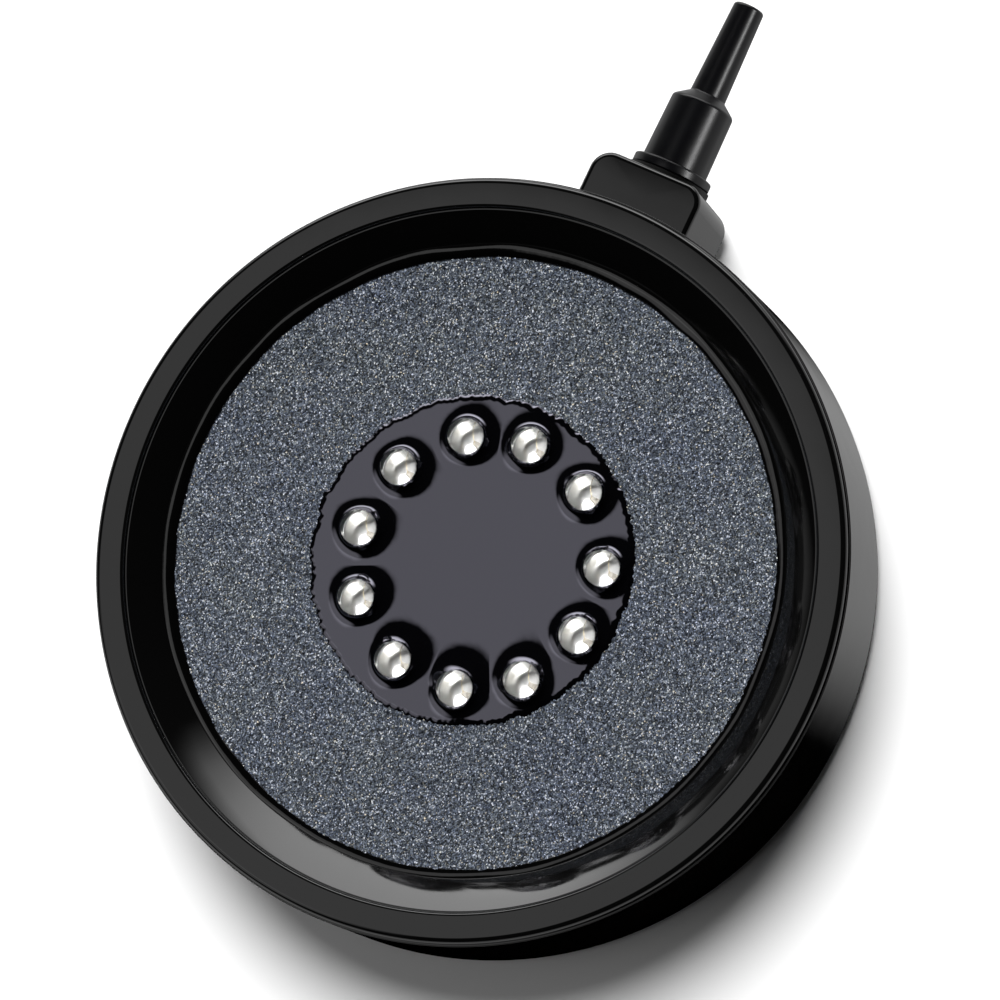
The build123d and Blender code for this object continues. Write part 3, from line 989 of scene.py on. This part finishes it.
# ---------------------------------------------------------------- LEDs in their resin
@dataclass
class LedRing:
    """Eleven 5 mm LEDs and the black resin poured round them. Sizes in mm."""

    dish: Housing
    stone: Stone
    angles: tuple[float, ...] = (1, 31, 65, 98, 130, 164, 196, 227, 259, 291, 327)
    ring_r: float = 17.65
    shift_y: float = -1.4
    base_z: float = 15.3
    led_r: float = 2.5
    led_h: float = 8.7
    led_segments: int = 64
    flange_r: float = 2.9
    flange_h: float = 1.0
    cup_z: float = 3.9
    cup_h: float = 1.1
    cup_r: float = 1.22
    mouth_r: float = 1.15
    floor_r: float = 0.5
    cup_depth: float = 0.85
    cup_segments: int = 48
    anvil_left: float = 1.65
    anvil_right: float = 0.75
    anvil_z: float = 3.0
    anvil_t: float = 0.9
    leg: float = 0.5
    leg_end: float = -3.2
    pitch: float = 2.54
    overlap: float = 0.1
    chip_half: float = 0.12
    chip_t: float = 0.1
    wire_r: float = 0.02
    wire_reach: float = 1.5
    wire_rise: float = 0.45
    wire_from: float = 0.15
    post_top: float = 5.35
    resin_z: float = 19.75
    resin_r: float = 23.15
    resin_edge_z: float = 19.42
    resin_under_z: float = 19.3
    resin_columns: int = 720
    fall_from: float = 0.97
    hidden_h: float = 0.4
    tuck: float = 0.12
    clear: float = 0.05
    frays: tuple[tuple[float, float, int], ...] = ((0.15, 5.0, 31), (0.12, 1.3, 32), (0.06, 0.6, 33))
    climb: float = 1.25
    climb_reach: float = 0.66
    runs: tuple[float, ...] = (0.0, 0.2, 0.35, 0.5, 0.6, 1.3, 1.5, 0.9, 0.2, 0.0, 0.1)

    @property
    def places(self) -> Array:
        """The x and y of each LED."""
        a = np.radians(self.angles)
        return np.column_stack([self.ring_r * np.cos(a), self.shift_y + self.ring_r * np.sin(a)])

    @property
    def cup_top_z(self) -> float:
        """Height of every cup's mouth."""
        return self.base_z + self.cup_z + self.cup_h

    def build(self) -> None:
        """Builds the resin and every LED."""
        self.resin()
        for number, (x, y) in enumerate(self.places, start=1):
            self.lens(number, x, y)
            self.reflector(number, x, y)
        self.chips()
        self.wires()

    def resin(self) -> bpy.types.Object:
        """Lays the resin's skin over the well as a height above each point.

        The height is the level of the pour, plus a slow ripple, plus the climb at the nearest LED. Inside
        an LED the skin drops below its flange. The outer edge is frayed by three ripples, each with its
        own size, wavelength and seed, and there the skin falls on to the stone.

        Returns:
            The resin.
        """
        a = np.linspace(0, 2 * np.pi, self.resin_columns, endpoint=False)
        ring = self.resin_r * np.column_stack([np.cos(a), np.sin(a)])
        edge = self.resin_r + sum(size * ripple(ring, wave, seed) for size, wave, seed in self.frays)
        # The last rings stand closer together, because the skin falls steeply there.
        share = np.concatenate([np.linspace(0, 0.985, 100), [0.992, 0.998, 1.0]])[:, None]
        r = share * edge
        x, y = r * np.cos(a), r * np.sin(a)
        rise, inside = self.collars(x, y)
        z = self.resin_z + 0.022 * ripple(np.stack([x, y], axis=-1), 9.0, 34) + rise
        z = np.where(inside, self.base_z + self.hidden_h, z)
        fall = np.clip((share - self.fall_from) / (1 - self.fall_from), 0, 1) ** 1.3
        z = z - fall * (self.resin_z - self.resin_edge_z)
        plug_r = self.dish.well_r - self.clear
        neck_r = self.stone.hole_r - self.clear
        r, z = with_rows(r, z, [
            (neck_r, self.resin_under_z),
            (neck_r, self.dish.stone_under_z + self.clear),
            (plug_r, self.dish.stone_under_z),
            (plug_r, self.dish.floor_t + self.clear),
            (0.0, self.dish.floor_t + self.clear),
        ])
        shell = round_shell(r, z, closed=False)
        resin = make_piece("poured_resin", shell, Finishes.POTTING, DISC, inside_out=True)
        report(resin, "potting_epoxy", "led_potting")
        return resin

    def collars(self, x: Array, y: Array) -> tuple[Array, Array]:
        """Gives the resin's climb at each LED, climb·exp(−gap / reach), with the gap to the LED's side.

        The reach is uneven round each LED, and longer towards the middle by the LED's own run.

        Args:
            x: The x of each place on the skin.
            y: The y of each place on the skin.

        Returns:
            The climb at each place, and whether the place is inside an LED.
        """
        rise = np.zeros_like(x)
        inside = np.zeros(x.shape, dtype=bool)
        for number, ((led_x, led_y), run) in enumerate(zip(self.places, self.runs)):
            away = np.hypot(x - led_x, y - led_y)
            angle = np.arctan2(y - led_y, x - led_x)
            inward = np.arctan2(self.shift_y - led_y, -led_x)
            uneven = 1 + 0.16 * np.sin(angle + number * 1.7) + 0.10 * np.sin(3 * angle + number)
            uneven = uneven + run * np.clip(np.cos(angle - inward), 0, 1)
            gap = np.maximum(away - self.led_r, 0)
            rise = np.maximum(rise, self.climb * np.exp(-gap / (self.climb_reach * uneven)))
            inside |= away < self.led_r - self.tuck
        return rise, inside

    def lens(self, number: int, x: float, y: float) -> bpy.types.Object:
        """Turns the clear body: flange, straight side and half-round dome.

        Args:
            number: The LED's number.
            x: Its axis's x.
            y: Its axis's y.

        Returns:
            The clear body.
        """
        side_h = self.led_h - self.led_r
        side = rounded([
            (0.0, 0.0, 0.0),
            (self.flange_r, 0.0, 0.1),
            (self.flange_r, self.flange_h, 0.1),
            (self.led_r, self.flange_h, 0.05),
            (self.led_r, side_h, 0.0),
        ], closed=False, steps=3)
        t = np.linspace(0, np.pi / 2, 18)[1:]
        dome = np.column_stack([self.led_r * np.cos(t), side_h + self.led_r * np.sin(t)])
        dome[-1, 0] = 0.0
        profile = np.concatenate([side, dome])
        profile[:, 1] += self.base_z
        shell = turned_z(profile, self.led_segments, (x, y), closed=False)
        lens = make_piece(f"clear_body_{number:02d}", shell, Finishes.LENS, DISC)
        report(lens, "clear_epoxy", f"led_lens_{number:02d}")
        return lens

    def reflector(self, number: int, x: float, y: float) -> bpy.types.Object:
        """Builds the cathode: leg, anvil and the polished cup that throws the light up.

        The cup's hollow is a bowl: its radius grows from the floor to the mouth as the square root of height.

        Args:
            number: The LED's number.
            x: Its axis's x.
            y: Its axis's y.

        Returns:
            The cathode.
        """
        half_leg = self.leg / 2
        leg_x = x - self.pitch / 2
        anvil_z = self.base_z + self.anvil_z
        cup_z = self.base_z + self.cup_z
        leg = rounded_block(
            (leg_x - half_leg, y - half_leg, self.base_z + self.leg_end),
            (leg_x + half_leg, y + half_leg, anvil_z + self.overlap),
            0.06, 0.04, steps=2,
        )
        anvil = rounded_block(
            (x - self.anvil_left, y - self.anvil_t / 2, anvil_z),
            (x + self.anvil_right, y + self.anvil_t / 2, cup_z + self.overlap),
            0.1, 0.06, steps=2,
        )
        outer = rounded([
            (0.0, cup_z, 0.0),
            (self.cup_r, cup_z, 0.08),
            (self.cup_r, self.cup_top_z, 0.03),
            (self.mouth_r, self.cup_top_z, 0.0),
        ], closed=False, steps=3)
        depth = np.linspace(0, 1, 10)[1:]
        bowl_r = self.floor_r + (self.mouth_r - self.floor_r) * np.sqrt(1 - depth)
        bowl_z = self.cup_top_z - self.cup_depth * np.append(depth, 1.0)
        profile = np.concatenate([outer, np.column_stack([np.append(bowl_r, 0.0), bowl_z])])
        cup = turned_z(profile, self.cup_segments, (x, y), closed=False)
        piece = make_piece(f"cathode_cup_{number:02d}", joined([leg, anvil, cup]), Finishes.PLATED, DISC)
        report(piece, "plated_lead", f"led_cathode_{number:02d}")
        return piece

    def chips(self) -> bpy.types.Object:
        """Sets a small chip on the floor of every cup.

        Returns:
            All the chips.
        """
        half = self.chip_half
        low_z = self.cup_top_z - self.cup_depth - 0.02
        high_z = self.cup_top_z - self.cup_depth + self.chip_t
        shells = [
            rounded_block((x - half, y - half, low_z), (x + half, y + half, high_z), 0.03, 0.02, steps=1)
            for x, y in self.places
        ]
        piece = make_piece("led_chips", joined(shells), Finishes.CHIP, DISC)
        report(piece, "plated_lead")
        return piece

    def wires(self) -> bpy.types.Object:
        """Runs a bond wire from each chip to its anode post, as a half wave of small round tube.

        Returns:
            All the wires.
        """
        steps, sides = 12, 6
        t = np.linspace(0, 1, steps)[:, None]
        around = np.linspace(0, 2 * np.pi, sides, endpoint=False)[None, :]
        low_z = self.cup_top_z - self.cup_depth + self.wire_from
        high_z = self.base_z + self.post_top
        height = low_z + (high_z - low_z) * t + self.wire_rise * np.sin(np.pi * t)
        faces = sheet_faces(steps, sides, closed=False)
        shells = []
        for x, y in self.places:
            tube = (
                x + self.wire_reach * t,
                y + self.wire_r * np.cos(around),
                height + self.wire_r * np.sin(around),
            )
            points = np.stack(np.broadcast_arrays(*tube), axis=-1)
            shells.append((points.reshape(-1, 3), faces))
        piece = make_piece("bond_wires", joined(shells), Finishes.GOLD_WIRE, DISC)
        report(piece, "plated_lead")
        return piece


# ---------------------------------------------------------------- nozzle
@dataclass
class Nozzle:
    """The turning air nozzle: grooved stem, flange, barrel and hose spigot. Sizes in mm."""

    dish: Housing
    gasket_t: float = 0.9
    gasket_gap: float = 0.1
    air_r: float = 1.3
    stem_r: float = 3.95
    stem_len: float = 6.7
    groove_r: float = 2.5
    groove_far: float = 5.3
    groove_near: float = 3.5
    snap_r: float = 4.18
    snap_at: float = 1.9
    snap_half: float = 0.4
    flange_r: float = 5.8
    flange_t: float = 1.4
    barrel_r: float = 4.8
    barrel_end_r: float = 4.62
    barrel_len: float = 9.65
    shoulder_len: float = 1.5
    spigot_r: float = 2.63
    tip_r: float = 2.23
    spigot_len: float = 14.0
    segments: int = 160

    def build(self) -> bpy.types.Object:
        """Turns the nozzle's section about its level axis.

        Returns:
            The nozzle.
        """
        end = self.dish.end_x
        flange = end + self.gasket_t + self.gasket_gap
        barrel = flange + self.flange_t
        shoulder = barrel + self.barrel_len
        spigot = shoulder + self.shoulder_len
        tip = spigot + self.spigot_len
        profile = rounded([
            (end - self.stem_len, self.air_r, 0.1),
            (end - self.stem_len, self.stem_r, 0.4),
            (end - self.groove_far, self.stem_r, 0.05),
            (end - self.groove_far, self.groove_r, 0.1),
            (end - self.groove_near, self.groove_r, 0.1),
            (end - self.groove_near, self.stem_r, 0.05),
            (end - self.snap_at - self.snap_half, self.stem_r, 0.1),
            (end - self.snap_at, self.snap_r, 0.1),
            (end - self.snap_at + self.snap_half, self.stem_r, 0.1),
            (flange, self.stem_r, 0.05),
            (flange, self.flange_r, 0.3),
            (barrel, self.flange_r, 0.3),
            (barrel, self.barrel_r, 0.2),
            (shoulder, self.barrel_end_r, 0.7),
            (spigot, self.spigot_r, 0.35),
            (tip, self.tip_r, 0.5),
            (tip, self.air_r, 0.2),
        ], steps=8)
        shell = turned_x(profile, self.segments, self.dish.nozzle_z)
        nozzle = make_piece("hose_nozzle", shell, Finishes.NOZZLE, NOZZLE)
        report(nozzle, "nozzle_plastic", "air_nozzle")
        return nozzle


# ---------------------------------------------------------------- carried-over nodes
KEPT = {
    "led_board": Finishes.BOARD,
    "led_resistors": Finishes.CERAMIC,
    "lead_positive": Finishes.LEAD_RED,
    "lead_negative": Finishes.LEAD_BLACK,
    "cable_grommet": Finishes.RUBBER,
    "nozzle_gasket": Finishes.RUBBER,
    "nozzle_o_ring": Finishes.RUBBER,
    "led_anode": Finishes.PLATED,
}


def dress_kept_nodes() -> None:
    """Gives every carried-over CAD node its procedural material."""
    for name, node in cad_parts.items():
        stem = name.rstrip("0123456789").rstrip("_")
        finish = KEPT.get(stem)
        if finish is None:
            continue
        node.data.materials.clear()
        node.data.materials.append(material_for(finish))


# ---------------------------------------------------------------- studio
def stand(
    name: str, data: bpy.types.ID, back: Array, at: Array | None = None, side: Array | None = None
) -> bpy.types.Object:
    """Stands a camera or a light in the scene, looking away from its back.

    Args:
        name: Its name.
        data: Its camera or light data.
        back: The way that its back faces.
        at: Its place in metres, or None for the origin.
        side: The way that its right side faces, or None for level.

    Returns:
        The new object.
    """
    back = np.array(back) / np.linalg.norm(back)
    side = np.cross((0, 0, 1), back) if side is None else np.array(side) - np.dot(side, back) * back
    side = side / np.linalg.norm(side)
    up = np.cross(back, side)
    at = np.zeros(3) if at is None else at
    made = bpy.data.objects.new(name, data)
    bpy.context.scene.collection.objects.link(made)
    made.matrix_world = Matrix([list(row) for row in zip(side, up, back, at)] + [[0, 0, 0, 1]])
    return made


@dataclass(frozen=True)
class Lobe:
    """One soft patch of light on the studio dome.

    It is full where the cosine of the angle to its direction is above inner, and dark below outer. It is
    also dark below the height low and above the height high, on a dome of radius 1.
    """

    direction: tuple[float, float, float]
    inner: float
    outer: float
    strength: float
    low: float = -2.0
    high: float = 2.0

    def glow(self, tree: Tree, look: Socket) -> Socket:
        """Gives the patch's light in a direction.

        Args:
            tree: The node tree.
            look: The direction, of length 1.

        Returns:
            The light.
        """
        unit = np.array(self.direction) / np.linalg.norm(self.direction)
        near = add_node(tree, "ShaderNodeVectorMath", {0: look, 1: tuple(unit)}, operation="DOT_PRODUCT")
        light = add_node(tree, "ShaderNodeMapRange", {
            "Value": near.outputs["Value"],
            "From Min": self.outer,
            "From Max": self.inner,
            "To Max": self.strength,
        }, interpolation_type="SMOOTHSTEP").outputs[0]
        height = add_node(tree, "ShaderNodeSeparateXYZ", {0: look}).outputs[2]
        for dark, full in ((self.low - 0.1, self.low + 0.05), (self.high + 0.1, self.high - 0.05)):
            inputs = {"Value": height, "From Min": dark, "From Max": full}
            light = product(tree, light, add_node(tree, "ShaderNodeMapRange", inputs).outputs[0])
        return light


@dataclass
class Studio:
    """Pale floor, soft light and the camera. Sizes in metres."""

    lens_mm: float = 155.6
    sensor_mm: float = 36.0
    azimuth_deg: float = 259.42
    elevation_deg: float = 73.04
    roll_deg: float = -54.59
    distance: float = 0.60333
    aim: tuple[float, float, float] = (0.009628, 0.002277, 0.0115)
    floor_half: float = 4.0
    sun_from: tuple[float, float, float] = (0.44, 0.24, 0.87)
    sun_strength: float = 4.8
    sun_angle_deg: float = 34.0
    strip_from: tuple[float, float, float] = (0.06, -0.86, 0.51)
    strip_aim: tuple[float, float, float] = (0.072, 0.0, 0.0115)
    strip_distance: float = 0.5
    strip_length: float = 0.5
    strip_width: float = 0.10
    strip_watts: float = 3.0
    lobes: list[Lobe] = field(default_factory=lambda: [
        Lobe((-0.12, 0.30, 0.946), 0.978, 0.945, 0.86),
        Lobe((0.80, 0.42, 0.12), 0.97, 0.66, 4.4, low=0.0, high=0.38),
        Lobe((-0.5, 0.5, 0.7), 0.97, 0.9, 0.8),
        Lobe((0.95, -0.3, 0.0), 0.24, 0.08, 0.45, high=-0.6),
        Lobe((0.0, 0.0, 1.0), -0.6, -0.9, 0.7, high=0.0),
    ])

    def build(self) -> None:
        """Builds the camera, the light and the floor."""
        self.camera()
        self.dome()
        self.key()
        self.floor()
        self.nozzle_strip()
        bpy.context.scene.view_settings.view_transform = "Standard"

    def camera(self) -> None:
        """Aims the camera from its azimuth and elevation, then rolls it about its own axis."""
        data = bpy.data.cameras.new("camera")
        data.sensor_width = self.sensor_mm
        data.lens = self.lens_mm
        data.clip_start = 0.01
        azimuth, elevation, roll = np.radians([self.azimuth_deg, self.elevation_deg, self.roll_deg])
        level = np.array([np.cos(azimuth), np.sin(azimuth), 0.0])
        back = np.cos(elevation) * level + np.array([0.0, 0.0, np.sin(elevation)])
        right = np.array([-np.sin(azimuth), np.cos(azimuth), 0.0])
        side = np.cos(roll) * right + np.sin(roll) * np.cross(back, right)
        at = np.array(self.aim) + self.distance * back
        bpy.context.scene.camera = stand("camera", data, back, at, side)

    def dome(self) -> None:
        """Adds up the soft patches of light by their angle from each patch's middle."""
        world = bpy.data.worlds.new("studio_dome")
        world.use_nodes = True
        tree = world.node_tree
        tree.nodes.clear()
        look = add_node(tree, "ShaderNodeTexCoord").outputs["Generated"]
        total: float | Socket = 0.0
        for lobe in self.lobes:
            inputs = {0: total, 1: lobe.glow(tree, look)}
            total = add_node(tree, "ShaderNodeMath", inputs, operation="ADD").outputs[0]
        light = add_node(tree, "ShaderNodeBackground", {"Color": (1.0, 1.0, 1.0, 1.0), "Strength": total})
        out = add_node(tree, "ShaderNodeOutputWorld")
        tree.links.new(light.outputs[0], out.inputs["Surface"])
        bpy.context.scene.world = world

    def key(self) -> None:
        """Adds the soft key light. The nozzle casts no shadow from it."""
        data = bpy.data.lights.new("key", "SUN")
        data.energy = self.sun_strength
        data.angle = float(np.radians(self.sun_angle_deg))
        made = stand("key", data, self.sun_from)
        made.visible_glossy = False
        made.light_linking.blocker_collection = pieces_of(DISC)

    def nozzle_strip(self) -> None:
        """Adds a slim strip light that reaches only the nozzle, for the sheen along its side."""
        data = bpy.data.lights.new("nozzle_strip", "AREA")
        data.shape = "RECTANGLE"
        data.size = self.strip_length
        data.size_y = self.strip_width
        data.energy = self.strip_watts
        back = np.array(self.strip_from) / np.linalg.norm(self.strip_from)
        at = np.array(self.strip_aim) + self.strip_distance * back
        made = stand("nozzle_strip", data, back, at, side=np.array((1.0, 0.0, 0.0)))
        made.light_linking.receiver_collection = pieces_of(NOZZLE)

    def floor(self) -> None:
        """Lays the pale floor."""
        half = self.floor_half
        corners = [(-half, -half, 0), (half, -half, 0), (half, half, 0), (-half, half, 0)]
        mesh = bpy.data.meshes.new("studio_floor")
        mesh.from_pydata(corners, [], [(0, 1, 2, 3)])
        mesh.materials.append(material_for(Finishes.FLOOR))
        made = bpy.data.objects.new("studio_floor", mesh)
        bpy.context.scene.collection.objects.link(made)
        made.visible_glossy = False


def main() -> None:
    """Builds the studio and every part of the object."""
    logging.basicConfig(level=logging.INFO, format="%(name)s: %(message)s")
    Studio().build()
    dish = Housing()
    dish.build()
    stone = Stone(dish)
    stone.build()
    LedRing(dish, stone).build()
    Nozzle(dish).build()
    dress_kept_nodes()


if __name__ == "__main__":
    main()
